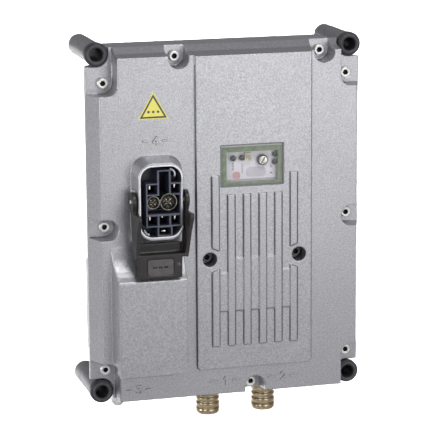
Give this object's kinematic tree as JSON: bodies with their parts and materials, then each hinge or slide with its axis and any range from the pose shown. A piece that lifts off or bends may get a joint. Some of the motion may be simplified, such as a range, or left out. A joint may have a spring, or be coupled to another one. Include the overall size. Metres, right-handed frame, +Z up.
{
  "type": "variable frequency drive",
  "caption": "Wall-mounted motor drive in a ribbed cast housing, with a plug collar and locking lever, a clear service lid and round ports below.",
  "frame": {"origin": "centre of the four mounting holes, on the wall plane at the sleeves' back ends", "axes": "+Z up, +Y into the wall, +X to the right seen from the front; the front faces -Y"},
  "size_m": [0.1996, 0.099, 0.2755],
  "materials": {
    "cast_housing": "fine-textured silver-grey powder coat on die-cast aluminium",
    "black_rubber": "matte",
    "bright_steel": "zinc-plated, satin",
    "sleeve_plastic": "glass-filled plastic, slightly glossy",
    "clear_lid": "clear, polished",
    "green_seal": "matte",
    "carrier_plate": "printed film",
    "lamp_lens": "glossy, unlit",
    "switch_metal": "bright",
    "black_plastic": "matte",
    "cream_plastic": "satin",
    "dark_steel": "blackened",
    "yellow_sticker": "printed vinyl",
    "insert_plastic": "satin",
    "contact_metal": "tin-plated",
    "contact_brass": "gold-flashed",
    "lever_plastic": "satin, finely grained",
    "brass": "turned, nickel-flashed",
    "red_ring": "matte",
    "green_ring": "matte",
    "bare_aluminium": "machined",
    "circuit_board": "solder mask",
    "capacitor_sleeve": "shrink sleeve",
    "grey_pad": "matte",
    "choke_winding": "enamelled wire"
  },
  "bodies": {
    "housing": {"rear_housing": "cast_housing", "front_cover": "cast_housing", "cover_seal": "black_rubber", "cover_screws": "bright_steel", "sleeve_top_left": "sleeve_plastic", "sleeve_top_right": "sleeve_plastic", "sleeve_bottom_left": "sleeve_plastic", "sleeve_bottom_right": "sleeve_plastic", "window_gasket": "green_seal", "display_carrier": "carrier_plate", "status_lamps": "lamp_lens", "switch_socket": "black_plastic", "service_socket": "cream_plastic", "panel_screws": "dark_steel", "heat_sticker": "yellow_sticker", "power_insert": "insert_plastic", "power_blades": "contact_metal", "data_shield_left": "contact_brass", "data_shield_right": "contact_brass", "data_pins": "contact_brass", "insert_brackets": "bright_steel", "lever_pins": "bright_steel", "lower_insert": "insert_plastic", "lower_contacts": "contact_metal", "lower_insert_screws": "bright_steel", "round_shell_left": "brass", "round_shell_right": "brass", "round_insert_left": "black_plastic", "round_insert_right": "black_plastic", "round_pins": "contact_brass", "port_ring_left": "red_ring", "port_ring_right": "green_ring", "earth_lug": "bare_aluminium", "earth_screw": "bright_steel", "power_board": "circuit_board", "board_screws": "bright_steel", "control_board": "circuit_board", "link_capacitors": "capacitor_sleeve", "power_module": "black_plastic", "thermal_pad": "grey_pad", "line_choke": "choke_winding", "board_standoffs": "contact_metal", "board_link": "black_plastic", "board_nuts": "contact_metal"},
    "lever": {"locking_lever": "lever_plastic"},
    "lid": {"service_window": "clear_lid"},
    "switch_rotor": {"rotary_switch": "switch_metal"}
  },
  "joints": [
    {"name": "lever_swing", "type": "hinge", "parent": "housing", "child": "lever", "pos_m": [-0.0537, -0.079, 0.0202], "axis": [-1, 0, 0], "range_deg": [0, 95]},
    {"name": "lid_lift", "type": "slide", "parent": "housing", "child": "lid", "axis": [0, -1, 0], "range_m": [0, 0.012]},
    {"name": "switch_turn", "type": "hinge", "parent": "housing", "child": "switch_rotor", "pos_m": [0.0242, -0.068, 0.0423], "axis": [0, -1, 0], "continuous": true}
  ]
}
